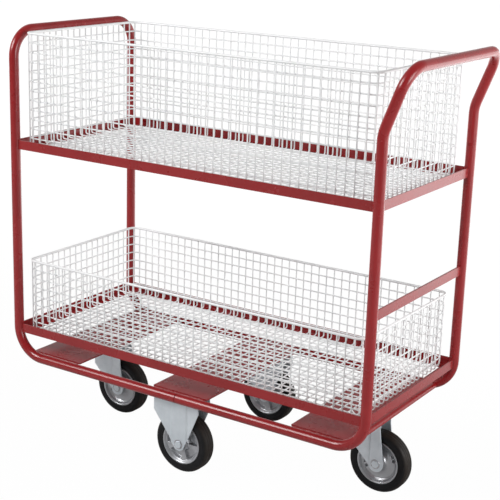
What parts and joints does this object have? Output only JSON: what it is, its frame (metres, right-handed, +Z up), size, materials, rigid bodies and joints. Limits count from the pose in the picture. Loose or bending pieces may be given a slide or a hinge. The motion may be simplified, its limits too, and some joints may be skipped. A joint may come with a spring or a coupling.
{
  "type": "wire basket trolley",
  "caption": "Red tubular steel trolley with two tiers of white wire baskets, a push handle and castors in a diamond layout.",
  "frame": {"origin": "on the floor, under the middle of the trolley's bounding box", "axes": "+X along the length towards the push handle, +Y across the width, +Z up"},
  "size_m": [1.2092, 0.537, 1.1706],
  "materials": {
    "frame_red": "gloss powder coat",
    "basket_white": "white epoxy coat on welded wire",
    "zinc_plate": "bright zinc plate on pressed steel",
    "rim_silver": "silver lacquer on pressed steel",
    "rubber_black": "solid black rubber, satin",
    "plain_steel": "oiled turned steel"
  },
  "bodies": {
    "frame": {"rear_hoop": "frame_red", "handle_hoop": "frame_red", "joint_spigots": "frame_red", "upper_near_rail": "frame_red", "upper_far_rail": "frame_red", "upper_rear_rail": "frame_red", "upper_front_rail": "frame_red", "lower_near_rail": "frame_red", "lower_far_rail": "frame_red", "lower_rear_rail": "frame_red", "lower_front_rail": "frame_red", "cross_bar": "frame_red", "rear_castor_plate": "frame_red", "middle_castor_plate": "frame_red", "front_castor_plate": "frame_red", "near_bracket": "zinc_plate", "near_axle_bolt": "zinc_plate", "near_axle_sleeve": "plain_steel", "far_bracket": "zinc_plate", "far_axle_bolt": "zinc_plate", "far_axle_sleeve": "plain_steel", "rear_top_plate": "zinc_plate", "rear_king_pin": "plain_steel", "rear_ball_race": "zinc_plate", "front_top_plate": "zinc_plate", "front_king_pin": "plain_steel", "front_ball_race": "zinc_plate"},
    "upper_basket": {"upper_basket_rim": "basket_white", "upper_basket_sides": "basket_white", "upper_basket_ends": "basket_white", "upper_basket_floor": "basket_white"},
    "lower_basket": {"lower_basket_rim": "basket_white", "lower_basket_sides": "basket_white", "lower_basket_ends": "basket_white", "lower_basket_floor": "basket_white"},
    "near_wheel": {"near_bearing": "plain_steel", "near_rim": "rim_silver", "near_tyre": "rubber_black"},
    "far_wheel": {"far_bearing": "plain_steel", "far_rim": "rim_silver", "far_tyre": "rubber_black"},
    "rear_swivel": {"rear_fork": "zinc_plate", "rear_axle_bolt": "zinc_plate", "rear_axle_sleeve": "plain_steel"},
    "rear_wheel": {"rear_bearing": "plain_steel", "rear_rim": "rim_silver", "rear_tyre": "rubber_black"},
    "front_swivel": {"front_fork": "zinc_plate", "front_axle_bolt": "zinc_plate", "front_axle_sleeve": "plain_steel"},
    "front_wheel": {"front_bearing": "plain_steel", "front_rim": "rim_silver", "front_tyre": "rubber_black"}
  },
  "joints": [
    {"name": "near_wheel_spin", "type": "hinge", "parent": "frame", "child": "near_wheel", "pos_m": [-0.0286, -0.213, 0.085], "axis": [0, 1, 0], "continuous": true},
    {"name": "far_wheel_spin", "type": "hinge", "parent": "frame", "child": "far_wheel", "pos_m": [-0.0286, 0.213, 0.085], "axis": [0, 1, 0], "continuous": true},
    {"name": "rear_swivel_turn", "type": "hinge", "parent": "frame", "child": "rear_swivel", "pos_m": [-0.4636, 0, 0.213], "axis": [0, 0, 1], "continuous": true},
    {"name": "rear_wheel_spin", "type": "hinge", "parent": "rear_swivel", "child": "rear_wheel", "pos_m": [-0.4136, 0, 0.085], "axis": [0, 1, 0], "continuous": true},
    {"name": "front_swivel_turn", "type": "hinge", "parent": "frame", "child": "front_swivel", "pos_m": [0.4064, 0, 0.213], "axis": [0, 0, 1], "continuous": true},
    {"name": "front_wheel_spin", "type": "hinge", "parent": "front_swivel", "child": "front_wheel", "pos_m": [0.4564, 0, 0.085], "axis": [0, 1, 0], "continuous": true},
    {"name": "upper_basket_lift", "type": "slide", "parent": "frame", "child": "upper_basket", "axis": [0, 0, 1], "range_m": [0, 0.35]},
    {"name": "lower_basket_lift", "type": "slide", "parent": "frame", "child": "lower_basket", "axis": [0, 0, 1], "range_m": [0, 0.25]}
  ]
}
